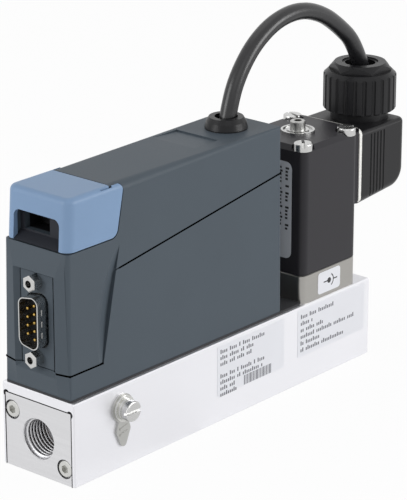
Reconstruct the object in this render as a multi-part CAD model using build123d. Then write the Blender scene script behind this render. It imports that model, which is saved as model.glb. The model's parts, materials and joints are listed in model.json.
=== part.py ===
from build123d import *
from math import cos, pi, sqrt, tan
import os

# Mass flow controller. Millimetres, +Z up, gas flows along +X.
# Origin: the middle of the base block's underside.

# -------------------------------------------- lengths and levels, foot to top
hood_front = 0.5              # hood's foot, behind the inlet face
hood_length = 101.9
valve_gap = 10.3              # from the hood to the valve
valve_side = 29.4
outlet_margin = 6.9           # from the valve to the outlet face
block_height = 28.0
gasket_thickness = 0.8
hood_height = 64.2
valve_body_height = 9.9
coil_gap = 0.3
coil_height = 44.8
block_length = hood_front + hood_length + valve_gap + valve_side + outlet_margin
valve_station = hood_front + hood_length + valve_gap + valve_side / 2
inlet_face = -block_length / 2
outlet_face = block_length / 2
gasket_top = block_height + gasket_thickness
hood_top = gasket_top + hood_height
hood_rear = inlet_face + hood_front + hood_length
valve_x = inlet_face + valve_station
valve_top = block_height + valve_body_height
coil_low = valve_top + coil_gap
coil_top = coil_low + coil_height

# ---------------------------------------------------------------- base block
block_width = 31.0
block_chamfer = 0.4
port_height = 12.4            # port axis above the underside
half_width = block_width / 2

# port plates, let into a pocket at each end
plate_thickness = 14.0
pocket_wall = 1.2             # block wall left beside the plate
pocket_roof = 3.1             # block wall left above the plate
plate_gap = 0.15
corner_relief = 1.2
thread_core_radius = 5.72     # G1/4 internal thread, core
thread_depth = 12.0
thread_lead_in = 1.0
duct_radius = 4.0
plate_screw_y = 11.15
plate_screw_z = 7.0
m3_radius = 1.5
m3_head_radius = 2.75
m3_head_height = 3.0
head_clearance = 0.45
shank_clearance = 0.05
screw_bite = 8.0              # thread engaged in the block
roof_bite = 2.8               # thread engaged where the block is thin
ring_groove_depth = 1.4
ring_groove_width = 2.0
plate_ring_radius = 6.6

# channels inside the block
chamber_radius = 6.25
chamber_length = 84.5
element_length = 66.0
filter_thickness = 2.5
tap_radius = 1.0
tap_spacing = 36.0
riser_radius = 1.6
link_radius = 2.5
slide_clearance = 0.05
cutter_margin = 0.5           # cutters reach this far past the surface they cut

# threaded holes in the underside
foot_hole_pitch_x = 90.0
foot_hole_pitch_y = 21.0
foot_hole_radius = 1.65       # M4 core
foot_hole_depth = 8.0

# earth terminal on the near side
earth_x = inlet_face + 21.5
earth_z = block_height - 7.5
m4_radius = 2.0
earth_head_radius = 3.4
earth_head_height = 2.6
earth_slot_width = 1.0
earth_slot_depth = 1.2
tag_thickness = 0.8
tag_ring_radius = 4.7
tag_rib_length = 3.6
tag_rib_turn = 12             # degrees
tag_blade_half = 3.3
tag_blade_drop = 7.6
tag_tip_drop = 13.0
washer_radius = 4.3
washer_thickness = 0.9
spring_washer_radius = 3.7
spring_washer_thickness = 1.1
spring_washer_cut_turn = 40   # degrees

# ------------------------------------------------------------------- housing
gasket_front_inset = 0.35
gasket_side_inset = 1.5
foot_inset = 1.65             # hood side in from the block side, at the foot
top_inset = 2.35
hood_wall = 2.0
seam_height = 7.8             # lower shell's front edge above the gasket
seam_kink_x = 15.5            # from the inlet face
seam_rise_x = 22.0
seam_rise_height = 36.7
seam_end_height = 48.3
seam_gap = 0.35
seam_gap_depth = 0.8
scoop_depth = 1.4
scoop_width = 5.0
corner_round_foot = 0.5
corner_round_top = 1.3
edge_round_front = 3.0
edge_round_rear = 0.6

# front face of the hood
crest_proud = 1.1             # middle of the front, ahead of the corners
crest_half = 8.7
recess_half = 7.05
recess_depth = 1.4
recess_below = 15.7           # recess floor's ends from the connector's middle
recess_above = 15.5

# light cap over the front top corner
cap_low = hood_top - 16.8
cap_wall = 2.0
cap_front = 0.8
cap_lean = 1.0
cap_back = 20.5
cap_wing_low = 22.6
cap_wing_high = 26.3
cap_wing_inner = 12.2         # half the width between the wings
cap_corner_round = 3.2
cap_edge_round = 2.0
cap_gap = 0.4
cap_wing_round = 2.3          # wing's rear top corner
cap_slit_start = 16.4
cap_slit_width = 0.5
window_half = 9.55
window_high = hood_top - 7.0
window_round = 2.3
window_floor_rise = 2.2
card_near = -2.5
card_far = 8.2
card_low = hood_top - 14.0
card_high = hood_top - 7.6
card_socket_start = 6.8       # from the inlet face
card_socket_length = 9.0
card_depth = 5.0
card_socket_wall = 1.0

# nine-way connector
pin_axis_height = gasket_top + 23.3
lock_spacing = 24.99
lock_across_flats = 4.75
lock_reach = 3.7
lock_core_radius = 1.2
lock_stem_radius = 1.4
shell_reach = 4.1
shell_half_height = 4.15
shell_long_half = 9.0
shell_slant = 10.0            # degrees
shell_round = 2.6
shell_sheet = 0.4
shell_clearance = 0.6
flange_thickness = 0.8
flange_half = 6.2
flange_past_locks = 2.9
pin_radius = 0.5
pin_pitch = 2.77
pin_row_gap = 2.84
insulator_length = 7.0
insulator_set_back = 0.6
board_thickness = 1.6
connector_board_half = 9.0
connector_board_past_locks = 2.5

# cable entry on the hood
entry_station = hood_front + hood_length - 12.4
entry_foot_radius = 7.1
entry_top_radius = 5.7
entry_height = 3.9
entry_bevel_start = 2.5       # the collar's skirt ends and its bevel starts here
entry_stem_radius = 4.9
entry_stem_reach = 4.0        # past the locknut's seat
locknut_across_corners = 15.0
locknut_thickness = 3.0
cable_radius = 2.85

# sensor and main board under the hood
sensor_length = 50.0
sensor_half = 8.0
sensor_height = 12.0
sensor_window_half = 9.2
sensor_offset = 3.05          # sensor behind the hood's middle
sensor_middle = inlet_face + hood_front + hood_length / 2 + sensor_offset
board_low = gasket_top + 17.2
board_high = hood_top - 11.0
board_near_y = 3.4
board_station = 22.0          # from the inlet face
board_rear_gap = 4.4          # from the hood's rear face
board_start = inlet_face + board_station
board_length = hood_front + hood_length - board_rear_gap - board_station
board_chips = [(30, 18, 14, 14, 1.6), (52, 26, 10, 8, 2.0), (44, 8, 12, 8, 4.0),
               (18, 30, 8, 5, 2.4)]   # along, up, length, height, rise
board_post_radius = 2.4
board_post_front = 12.0
board_post_rear = 6.0
board_post_levels = (4.0, 15.0)
board_screw_radius = 1.0

# --------------------------------------------------------------------- valve
valve_corner_round = 2.6
valve_screw_offset = 11.7
valve_screw_head_radius = 3.15
valve_screw_head_height = 2.6
valve_screw_pocket_gap = 0.7  # round each head
valve_screw_proud = 1.2       # heads stand above the coil's top
valve_screw_turns = (42, -25, 70, 10)   # their slots, degrees
well_radius = 9.0
well_depth = 6.4
riser_offset = 6.6
coil_top_bevel = 1.6
tube_radius = 4.75
tube_wall = 0.6
plunger_clearance = 0.07      # running fit in the tube
plunger_length = 22.0
lift = 1.0                    # plunger travel
spring_radius = 2.6
spring_wire = 0.5
spring_turns = 6
spring_room = 8.0
stub_radius = 2.6
stub_height = 3.0
plunger_radius = tube_radius - tube_wall - plunger_clearance
coil_washer_radius = 5.75
coil_washer_thickness = 0.9

# ---------------------------------------------------------------------- plug
boss_depth = 2.1              # coil's connector face
boss_drop = 0.3               # its top below the coil's
boss_side_step = 0.4          # its side in from the plug's
seal_thickness = 1.3
seal_drop = 0.7               # seal's top below the coil's
plug_length = 24.9
plug_half_width = 13.6
plug_low = coil_low + 16.8
plug_high = coil_top - 1.8
plug_round = 3.0
plug_bottom_rise = 2.2
plug_rib_count = 5
plug_rib_start = 5.2          # behind the plug's front face
plug_rib_pitch = 1.8
plug_rib_radius = 0.4
neck_radius = 10.0
plug_screw_height = coil_top - 12.5
gland_setback = 15.9          # gland behind the plug's front face
gland_station = valve_station + valve_side / 2 + boss_depth + seal_thickness + gland_setback
gland_skirt_low = plug_high + 2.9
gland_skirt_length = 13.6
gland_skirt_bevel = 1.5
gland_crown_height = 2.8
gland_radius = 12.6
gland_ribs = 24
gland_rib_radius = 0.75
gland_hex_corners = 21.6
gland_crown_top_radius = 8.9  # where the crown's bevel ends
gland_mouth_radius = 6.25
gland_ring_width = 1.0

# hood cable, centre line (x from the inlet face, z above the underside)
cable_route = [(90.2, 93.6), (92.2, 102.3), (97.0, 110.9), (104.5, 118.6), (115.0, 123.9),
               (127.5, 125.2), (139.5, 121.6), (149.0, 115.3), (157.6, 108.0), (162.2, 98.0)]

# -------------------------------------------------------- places worked out
recess_low = pin_axis_height - recess_below
recess_high = pin_axis_height + recess_above
gland_skirt_high = gland_skirt_low + gland_skirt_length
gland_high = gland_skirt_high + gland_crown_height
pocket_floor_x = outlet_face - plate_thickness
plate_half = half_width - pocket_wall - plate_gap
plate_top = block_height - pocket_roof - plate_gap


def cuboid(x0, x1, y0, y1, z0, z1):
    return Pos((x0 + x1) / 2, (y0 + y1) / 2, (z0 + z1) / 2) * Box(x1 - x0, y1 - y0, z1 - z0)


def rod_x(x0, x1, y, z, radius):
    return Pos((x0 + x1) / 2, y, z) * Rot(0, 90, 0) * Cylinder(radius, x1 - x0)


def rod_y(y0, y1, x, z, radius):
    return Pos(x, (y0 + y1) / 2, z) * Rot(90, 0, 0) * Cylinder(radius, y1 - y0)


def rod_z(z0, z1, x, y, radius):
    return Pos(x, y, (z0 + z1) / 2) * Cylinder(radius, z1 - z0)


def ring_z(z0, z1, x, y, outer, inner):
    return rod_z(z0, z1, x, y, outer) - rod_z(z0, z1, x, y, inner)


def hex_z(z0, z1, x, y, across_corners):
    return Pos(x, y, z0) * extrude(RegularPolygon(across_corners / 2, 6), z1 - z0)


def polygon_face(points, rounds):
    """Flat face through 3-D points; rounds maps a point's index to its corner radius."""
    corners = [Vector(*point) for point in points]
    face = Face(Wire.make_polygon(corners, close=True))
    for index, radius in rounds.items():
        vertex = min(face.vertices(), key=lambda v: (Vector(*v) - corners[index]).length)
        face = face.fillet_2d(radius, [vertex])
    return face


def side_prism(profile, y0, y1, rounds):
    """Prism along Y of a profile given as (distance from the inlet face, height)."""
    face = polygon_face([(inlet_face + x, y0, z) for x, z in profile], rounds)
    return extrude(face, amount=y1 - y0, dir=(0, 1, 0))


def squeezed_ring(mean_radius, width, height):
    """O-ring as it lies squeezed in its groove, flat where it bears."""
    low = mean_radius - width / 2
    high = mean_radius + width / 2
    bulge = width * 0.2
    profile = Wire([
        Line((low + bulge, 0, 0), (high - bulge, 0, 0)),
        ThreePointArc((high - bulge, 0, 0), (high, 0, height / 2), (high - bulge, 0, height)),
        Line((high - bulge, 0, height), (low + bulge, 0, height)),
        ThreePointArc((low + bulge, 0, height), (low, 0, height / 2), (low + bulge, 0, 0)),
    ])
    return revolve(Face(profile), Axis.Z)


def edge_round(start, end, along_a, along_b, start_radius, end_radius):
    """Cutter that rounds the edge from start to end; its radius may change on the way."""
    sections = []
    for point, radius in ((start, start_radius), (end, end_radius)):
        corner = Vector(*point)
        arm_a = Vector(*along_a).normalized()
        arm_b = Vector(*along_b).normalized()
        tip_a = corner + arm_a * radius
        tip_b = corner + arm_b * radius
        belly = corner + (arm_a + arm_b) * (radius * (1 - 1 / sqrt(2)))
        outer_a = tip_a - arm_b * cutter_margin
        outer_b = tip_b - arm_a * cutter_margin
        outer = corner - (arm_a + arm_b) * cutter_margin
        sections.append(Face(Wire([
            ThreePointArc(tip_a, belly, tip_b),
            Line(tip_b, outer_b),
            Line(outer_b, outer),
            Line(outer, outer_a),
            Line(outer_a, tip_a),
        ])))
    return loft(sections, ruled=True)


def both_sides(shape):
    return shape + mirror(shape, about=Plane.XZ)


def socket_screw(radius, length, head_radius, head_height, socket_flats):
    """Socket-head screw, shank down along -Z, head seat at z = 0."""
    screw = rod_z(0, head_height, 0, 0, head_radius) + rod_z(-length, 0, 0, 0, radius)
    top_edge = screw.edges().group_by(Axis.Z)[-1]
    screw = chamfer(top_edge, head_height * 0.1)
    return screw - hex_z(head_height * 0.45, head_height, 0, 0, socket_flats / cos(pi / 6))


def slotted_screw(radius, length, head_radius, head_height, slot_width, slot_depth):
    """Cheese-head screw, shank down along -Z, head seat at z = 0."""
    screw = rod_z(0, head_height, 0, 0, head_radius) + rod_z(-length, 0, 0, 0, radius)
    screw = fillet(screw.edges().group_by(Axis.Z)[-1], head_height * 0.2)
    slot = cuboid(-head_radius, head_radius, -slot_width / 2, slot_width / 2,
                  head_height - slot_depth, head_height)
    return screw - slot


# ------------------------------------------------------------ block and ports
def plate_screw_places():
    """Two corners of the outlet plate; the turned inlet plate has them the other way in Y."""
    return [(-plate_screw_y, port_height + plate_screw_z), (plate_screw_y, port_height - plate_screw_z)]


def base_block():
    block = chamfer(cuboid(inlet_face, outlet_face, -half_width, half_width, 0, block_height).edges(),
                    block_chamfer)
    pocket_half = half_width - pocket_wall
    pocket_top = block_height - pocket_roof
    for way in (-1, 1):
        floor_x = way * pocket_floor_x
        mouth_x = way * (outlet_face + 1)
        near_x, far_x = sorted((floor_x, mouth_x))
        block -= cuboid(near_x, far_x, -pocket_half, pocket_half, -1, pocket_top)
        for y in (-pocket_half + corner_relief / 2, pocket_half - corner_relief / 2):
            block -= rod_x(near_x, far_x, y, pocket_top - corner_relief / 2, corner_relief)
        for y, z in plate_screw_places():
            hole_end = floor_x - way * (screw_bite + 1)
            block -= rod_x(min(floor_x, hole_end), max(floor_x, hole_end), way * y, z,
                           m3_radius + shank_clearance)
    chamber_end = chamber_length - pocket_floor_x
    block -= rod_x(-pocket_floor_x, chamber_end, 0, port_height, chamber_radius)
    block -= rod_x(chamber_end, valve_x - riser_offset, 0, port_height, link_radius)
    block -= rod_x(valve_x, pocket_floor_x, 0, port_height, duct_radius)
    block -= rod_z(port_height, block_height, valve_x - riser_offset, 0, riser_radius)
    block -= rod_z(port_height, block_height, valve_x, 0, riser_radius)
    for x in tap_places():
        block -= rod_z(port_height, block_height, x, 0, tap_radius)
    for x in (-foot_hole_pitch_x / 2, foot_hole_pitch_x / 2):
        for y in (-foot_hole_pitch_y / 2, foot_hole_pitch_y / 2):
            block -= rod_z(0, foot_hole_depth, x, y, foot_hole_radius)
    block -= rod_y(-half_width, -half_width + screw_bite + 1, earth_x, earth_z,
                   m4_radius + shank_clearance)
    for x, y in shell_screw_places() + sensor_screw_places():
        block -= rod_z(block_height - screw_bite - 1, block_height, x, y, m3_radius + shank_clearance)
    for x, y in valve_screw_places():
        block -= rod_z(block_height - pocket_roof, block_height, x, y, m3_radius + shank_clearance)
    return block


def port_plate():
    """Outlet plate; the inlet plate is the same piece turned round."""
    plate = cuboid(pocket_floor_x, outlet_face, -plate_half, plate_half, 0, plate_top)
    plate = chamfer(plate.edges().filter_by(GeomType.LINE).group_by(Axis.X)[-1], block_chamfer / 2)
    plate -= rod_x(outlet_face - thread_depth, outlet_face, 0, port_height, thread_core_radius)
    plate -= rod_x(pocket_floor_x, outlet_face, 0, port_height, duct_radius)
    lead_in = Cone(thread_core_radius, thread_core_radius + thread_lead_in, thread_lead_in)
    plate -= Pos(outlet_face - thread_lead_in / 2, 0, port_height) * Rot(0, 90, 0) * lead_in
    for y, z in plate_screw_places():
        plate -= rod_x(outlet_face - m3_head_height, outlet_face, y, z, m3_head_radius + head_clearance)
        plate -= rod_x(pocket_floor_x, outlet_face, y, z, m3_radius + shank_clearance)
    groove = ring_z(0, ring_groove_depth, 0, 0, plate_ring_radius + ring_groove_width / 2,
                    plate_ring_radius - ring_groove_width / 2)
    return plate - Pos(pocket_floor_x, 0, port_height) * Rot(0, 90, 0) * groove


def plate_screws():
    shank = plate_thickness - m3_head_height + screw_bite
    screw = socket_screw(m3_radius, shank, m3_head_radius, m3_head_height, 2.5)
    seat_x = outlet_face - m3_head_height
    return Compound(children=[Pos(seat_x, y, z) * Rot(0, 90, 0) * screw
                              for y, z in plate_screw_places()])


def plate_seal():
    ring = squeezed_ring(plate_ring_radius, ring_groove_width - 2 * slide_clearance, ring_groove_depth)
    return Pos(pocket_floor_x, 0, port_height) * Rot(0, 90, 0) * ring


def at_inlet(piece):
    return Rot(0, 0, 180) * piece


def inlet_filter():
    x = -pocket_floor_x
    disc = rod_x(x, x + filter_thickness, 0, port_height, chamber_radius - slide_clearance)
    dish = rod_x(x, x + filter_thickness * 0.4, 0, port_height, chamber_radius * 0.75)
    return disc - dish


def flow_element():
    """Laminar flow element: a slotted plug that splits the stream into thin layers."""
    x = -pocket_floor_x + filter_thickness
    element = rod_x(x, x + element_length, 0, port_height, chamber_radius - slide_clearance)
    slot_count = 10
    for turn in range(slot_count):
        slot = cuboid(x - 1, x + element_length + 1, -0.3, 0.3, chamber_radius * 0.45, chamber_radius + 1)
        element -= Pos(0, 0, port_height) * Rot(turn * 360 / slot_count, 0, 0) * slot
    for place in tap_places():
        collar = rod_x(place - 2, place + 2, 0, port_height, chamber_radius)
        element -= collar - rod_x(place - 2, place + 2, 0, port_height, chamber_radius * 0.8)
    return element


# ------------------------------------------------------------- earth terminal
def earth_tag():
    z_tip = -tag_tip_drop
    outline = Wire([
        Line((-2.2, -4.1, 0), (-tag_blade_half, -tag_blade_drop, 0)),
        Line((-tag_blade_half, -tag_blade_drop, 0), (-1.2, z_tip + 0.6, 0)),
        ThreePointArc((-1.2, z_tip + 0.6, 0), (0, z_tip, 0), (1.2, z_tip + 0.6, 0)),
        Line((1.2, z_tip + 0.6, 0), (tag_blade_half, -tag_blade_drop, 0)),
        Line((tag_blade_half, -tag_blade_drop, 0), (2.2, -4.1, 0)),
        Line((2.2, -4.1, 0), (-2.2, -4.1, 0)),
    ])
    blade = Face(outline)
    blade = blade.fillet_2d(1.4, [v for v in blade.vertices() if abs(v.Y + tag_blade_drop) < 0.01])
    tag = extrude(blade, tag_thickness) + rod_z(0, tag_thickness, 0, 0, tag_ring_radius)
    tag -= rod_z(0, tag_thickness, 0, 0, m4_radius + 0.3)
    for drop in (tag_blade_drop - 1.1, tag_blade_drop + 0.9):
        rib = Pos(0, -drop, tag_thickness) * Rot(0, 0, tag_rib_turn) * Box(tag_rib_length, 0.6, 0.4)
        tag += rib
    return Pos(earth_x, -half_width, earth_z) * Rot(90, 0, 0) * tag


def on_earth_post(piece, stand_off):
    return Pos(earth_x, -half_width - stand_off, earth_z) * Rot(90, 0, 0) * piece


def earth_washer():
    return on_earth_post(ring_z(0, washer_thickness, 0, 0, washer_radius, m4_radius + 0.2), tag_thickness)


def earth_spring_washer():
    """Split lock washer with its cut."""
    ring = ring_z(0, spring_washer_thickness, 0, 0, spring_washer_radius, m4_radius + 0.1)
    ring -= Rot(0, 0, spring_washer_cut_turn) * cuboid(0, 5, -0.3, 0.3, 0, spring_washer_thickness)
    return on_earth_post(ring, tag_thickness + washer_thickness)


def earth_screw():
    stand_off = tag_thickness + washer_thickness + spring_washer_thickness
    screw = slotted_screw(m4_radius, stand_off + screw_bite, earth_head_radius, earth_head_height,
                          earth_slot_width, earth_slot_depth)
    return on_earth_post(screw, stand_off)


# -------------------------------------------------------------------- housing
def inset_at(z):
    share = (z - gasket_top) / hood_height
    return foot_inset + (top_inset - foot_inset) * share


def side_at(z):
    return half_width - inset_at(z)


def hood_sections():
    """Plan of the hood at its levels: (height, corner x, crest x, crest half-width)."""
    corner = inlet_face + hood_front
    return [
        (gasket_top, corner, corner - 0.05, crest_half),
        (gasket_top + seam_height, corner, corner - crest_proud, crest_half),
        (recess_high, corner, corner - crest_proud, crest_half),
        (cap_low, corner + 0.3, corner + 0.25, crest_half + 2.8),
        (hood_top, corner + 1.3, corner + 1.25, crest_half + 2.8),
    ]


def envelope(inset, front_inset):
    sections = []
    for z, corner_x, crest_x, crest_y in hood_sections():
        y = side_at(z) - inset
        front = corner_x + front_inset
        crest = crest_x + front_inset
        rear = hood_rear - inset
        sections.append(polygon_face([
            (rear, -y, z), (rear, y, z), (front, y, z),
            (crest, crest_y, z), (crest, -crest_y, z), (front, -y, z)], {}))
    return loft(sections, ruled=True)


def tapered_block(x0, x1, z0, z1, inset):
    sections = []
    for z in (z0, z1):
        y = side_at(z) - inset
        sections.append(polygon_face([(x0, -y, z), (x1, -y, z), (x1, y, z), (x0, y, z)], {}))
    return loft(sections, ruled=True)


def seam_points():
    return [(-10, gasket_top + seam_height), (seam_kink_x, gasket_top + seam_height),
            (seam_rise_x, gasket_top + seam_rise_height),
            (hood_front + hood_length, gasket_top + seam_end_height)]


def below_seam():
    (x0, z0), (x1, z1), (x2, z2), (x3, z3) = seam_points()
    slope = (z3 - z2) / (x3 - x2)
    reach = x3 + 10
    profile = [(x0, z0 - 40), (reach, z0 - 40), (reach, z3 + slope * 10), (x2, z2), (x1, z1), (x0, z0)]
    return side_prism(profile, -half_width, half_width, {})


def seam_band():
    """The shadow gap between the two shells, on the upper hood's side of the seam."""
    (x0, z0), (x1, z1), (x2, z2), (x3, z3) = seam_points()
    slope = (z3 - z2) / (x3 - x2)
    low = [(x0, z0), (x1, z1), (x2, z2), (x3 + 10, z3 + slope * 10)]
    high = [(x3 + 10, z3 + slope * 10 + seam_gap), (x2 - seam_gap, z2 + seam_gap),
            (x1 - seam_gap, z1 + seam_gap), (x0, z0 + seam_gap)]
    return side_prism(low + high, -half_width, half_width, {})


def scoops():
    """Half-spindle cutters: a thumb scoop that dives to the slanted seam on each side."""
    (x1, z1), (x2, z2) = seam_points()[1:3]
    run = (Vector(inlet_face + x2, 0, z2) - Vector(inlet_face + x1, 0, z1))
    half_length = run.length * 0.66
    radius = (scoop_width ** 2 / scoop_depth + scoop_depth) / 2
    axis_out = radius - scoop_depth
    middle = Vector(inlet_face + x1, 0, z1) + run.normalized() * half_length
    profile = Wire([
        Line((0, 0, -half_length), (axis_out, 0, -half_length)),
        ThreePointArc((axis_out, 0, -half_length), (radius, 0, 0), (axis_out, 0, half_length)),
        Line((axis_out, 0, half_length), (0, 0, half_length)),
        Line((0, 0, half_length), (0, 0, -half_length)),
    ])
    spindle = revolve(Face(profile), Axis.Z)
    half = spindle & cuboid(-2 * radius, 0, -2 * radius, 2 * radius, -half_length, half_length)
    middle_side = side_at(middle.Z) + axis_out
    lean = Plane(origin=(middle.X, -middle_side, middle.Z), x_dir=(run.Z, 0, -run.X), z_dir=run)
    return both_sides(lean * half)


def front_recess():
    """Sloping-walled recess in the middle of the front, run out into the lower shell."""
    floor_x = inlet_face + hood_front - crest_proud + recess_depth
    mouth_x = floor_x - recess_depth - 1
    spread = (crest_half - recess_half) * (recess_depth + 1) / recess_depth
    sections = []
    for x, grow in ((floor_x, 0), (mouth_x, spread)):
        y = recess_half + grow
        low = recess_low - grow
        high = recess_high + grow * 0.3
        sections.append(polygon_face([(x, -y, low), (x, y, low), (x, y, high), (x, -y, high)], {}))
    return loft(sections, ruled=True)


def d_outline(x, grow):
    """D-shaped outline in a plane across X; its long side faces -Y."""
    half_height = shell_half_height + grow
    step = half_height * 2 * tan(shell_slant * pi / 180)
    long_half = shell_long_half + grow
    points = [(x, -half_height, pin_axis_height - long_half),
              (x, -half_height, pin_axis_height + long_half),
              (x, half_height, pin_axis_height + long_half - step),
              (x, half_height, pin_axis_height - long_half + step)]
    radius = shell_round + grow
    return polygon_face(points, {0: radius, 1: radius, 2: radius, 3: radius})


def d_prism(x0, x1, grow):
    return extrude(d_outline(x0, grow), amount=x1 - x0, dir=(1, 0, 0))


def lock_heights():
    return [pin_axis_height - lock_spacing / 2, pin_axis_height + lock_spacing / 2]


def recess_floor_x():
    return inlet_face + hood_front - crest_proud + recess_depth


def wall_back_x():
    return recess_floor_x() + hood_wall


def cap_zone(gap, y_reach):
    """Region taken by the cap: two side wings and a shorter middle."""
    low = cap_low - gap
    high = hood_top + gap
    wing = side_prism([(-10, low), (cap_wing_low + gap, low), (cap_wing_high + gap, high), (-10, high)],
                      -y_reach, y_reach, {1: 3.0 + gap, 2: cap_wing_round + gap})
    middle = cuboid(inlet_face + cap_back + gap, inlet_face + cap_wing_high + 5,
                    -cap_wing_inner + gap, cap_wing_inner - gap, low - 1, hood_top + 2)
    return wing - middle


def cap_seat():
    """Shoulder of the hood that the cap sits on."""
    front = inlet_face + cap_front + cap_wall
    seat = tapered_block(front, inlet_face + cap_wing_high + 2, cap_low - cap_gap,
                         hood_top - cap_wall, cap_wall)
    return seat


def front_cap():
    x0 = inlet_face + cap_front
    x1 = inlet_face + cap_wing_high + 3
    sections = []
    for z, lean in ((cap_low, 0), (hood_top, cap_lean)):
        y = side_at(z)
        sections.append(polygon_face([(x0 + lean, -y, z), (x1, -y, z), (x1, y, z), (x0 + lean, y, z)], {}))
    block = loft(sections, ruled=True)
    uprights = [e for e in block.edges() if e.center().X < x0 + 2 and abs(e.center().Y) > 5]
    uprights = [e for e in uprights if abs(e.length - (hood_top - cap_low)) < 1]
    block = fillet(uprights, cap_corner_round)
    block = fillet([e for e in block.edges()
                    if abs(e.center().Z - hood_top) < 0.01 and e.center().X < x1 - 0.5],
                   cap_edge_round)
    cap = block & cap_zone(0, half_width)
    cap -= tapered_block(x0 + cap_wall, x1 + 1, cap_low - 1, hood_top - cap_wall, cap_wall)
    window_floor = cap_low - 1
    window = extrude(polygon_face([(x0 - 2, -window_half, window_floor), (x0 - 2, window_half, window_floor),
                                   (x0 - 2, window_half, window_high), (x0 - 2, -window_half, window_high)],
                                  {2: window_round, 3: window_round}), amount=8, dir=(1, 0, 0))
    slit_end = inlet_face + cap_back + 1
    slit = cuboid(inlet_face + cap_slit_start, slit_end, -cap_wing_inner - cap_slit_width, -cap_wing_inner,
                  hood_top - cap_wall, hood_top)
    return cap - window - both_sides(slit)


def hood_cavity():
    inner_top = hood_top - hood_wall
    main = tapered_block(wall_back_x(), hood_rear - hood_wall, gasket_top + hood_wall, inner_top, hood_wall)
    slope_zone = cuboid(inlet_face - 5, inlet_face + cap_wing_high + 3, -half_width, half_width,
                        gasket_top, hood_top)
    narrow = tapered_block(wall_back_x(), inlet_face + cap_wing_high + 4, gasket_top + hood_wall,
                           cap_low - 3, hood_wall + scoop_depth)
    under_cap = tapered_block(inlet_face + card_socket_start, inlet_face + cap_wing_high + 4, cap_low - 4,
                              hood_top - cap_wall - hood_wall, cap_wall + hood_wall)
    return (main - slope_zone) + narrow + under_cap


def housing_body():
    """Both shells in one, before they are parted along the seam."""
    body = envelope(0, 0)
    rear_corner = (hood_rear, -side_at(gasket_top), gasket_top)
    rear_high = (hood_rear, -side_at(hood_top), hood_top)
    rear_edge = edge_round(rear_corner, rear_high, (-1, 0, 0), (0, 1, 0), 1.0, 1.0)
    first = hood_sections()[0]
    brow = hood_sections()[3]
    facet = (-crest_proud, side_at(cap_low) - crest_half, 0)
    front_edge = edge_round((first[1], -side_at(first[0]), first[0]), (brow[1], -side_at(brow[0]), brow[0]),
                            (1, 0, 0), facet, corner_round_foot, corner_round_top)
    long_edge = edge_round((inlet_face + cap_back - 2, -side_at(hood_top), hood_top),
                           (hood_rear + 1, -side_at(hood_top), hood_top),
                           (0, 1, 0), (0, 0, -1), edge_round_front, edge_round_rear)
    body -= both_sides(rear_edge + front_edge + long_edge)
    body -= front_recess()
    return body


def seam_ring():
    return envelope(0, 0) - envelope(seam_gap_depth, seam_gap_depth + crest_proud)


def connector_opening():
    """Hole for the connector's shell, with one for each screw lock."""
    opening = d_prism(recess_floor_x() - 1, wall_back_x() + 1, shell_clearance)
    for z in lock_heights():
        opening += rod_x(recess_floor_x() - 1, wall_back_x() + 1, 0, z, lock_stem_radius + shank_clearance)
    return opening


def lower_shell():
    shell = (housing_body() & below_seam()) - hood_cavity() - connector_opening()
    x0, x1 = sensor_window()
    shell -= cuboid(x0, x1, -sensor_window_half, sensor_window_half, gasket_top, gasket_top + hood_wall)
    for x, y in shell_screw_places():
        shell -= rod_z(gasket_top, gasket_top + hood_wall, x, y, m3_radius + 0.15)
    for x, z in board_post_places():
        shell += rod_y(board_back_y(), side_at(z) - hood_wall + 0.5, x, z, board_post_radius)
        shell -= rod_y(board_back_y(), board_back_y() + 3, x, z, board_screw_radius + shank_clearance)
    return shell


def upper_hood():
    hood = housing_body() - below_seam()
    hood -= scoops()
    hood -= seam_ring() & seam_band()
    hood -= cap_zone(cap_gap, half_width)
    hood += cap_seat() & cap_zone(cap_gap, half_width)
    hood -= hood_cavity()
    ledge_back = cap_front + cap_wall + 1.8
    hood -= side_prism([(-5, cap_low), (cap_front, cap_low), (ledge_back, cap_low + window_floor_rise),
                        (ledge_back, window_high + 1), (-5, window_high + 1)],
                       -window_half - 0.6, window_half + 0.6, {})
    slot_end = inlet_face + card_socket_start + 0.2
    hood -= cuboid(inlet_face, slot_end, card_near, card_far, card_low, card_high)
    hood -= connector_opening()
    hood -= rod_z(hood_top - hood_wall - 1, hood_top + 1, inlet_face + entry_station, 0,
                  entry_stem_radius + shank_clearance)
    step_x = entry_station - entry_foot_radius - 5.2
    hood -= side_prism([(step_x - 12, hood_top + 0.01), (step_x, hood_top - 0.55), (step_x, hood_top + 1)],
                       -side_at(hood_top) + 6, side_at(hood_top) - 2.5, {})
    return hood


# ------------------------------------------------------ sensor and electronics
def tap_places():
    return [sensor_middle - tap_spacing / 2, sensor_middle + tap_spacing / 2]


def sensor_window():
    return sensor_middle - sensor_length / 2 - 1, sensor_middle + sensor_length / 2 + 1


def sensor_screw_places():
    return [(sensor_middle - 9, 5.0), (sensor_middle + 9, -5.0)]


def shell_screw_places():
    return [(sensor_window()[0] - 5, 0), (hood_rear - 8, 0)]


def board_back_y():
    return board_near_y + board_thickness


def board_post_places():
    return [(x, board_low + level) for level in board_post_levels
            for x in (board_start + board_post_front, board_start + board_length - board_post_rear)]


def base_gasket():
    x0 = inlet_face + gasket_front_inset
    x1 = valve_x - valve_side / 2
    y = half_width - gasket_side_inset
    gasket = cuboid(x0, x1, -y, y, block_height, gasket_top)
    gasket = fillet(gasket.edges().filter_by(Axis.Z), 0.8)
    w0, w1 = sensor_window()
    gasket -= cuboid(w0, w1, -sensor_window_half, sensor_window_half, block_height, gasket_top)
    for x, y in shell_screw_places():
        gasket -= rod_z(block_height, gasket_top, x, y, m3_radius + 0.15)
    return gasket


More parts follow.
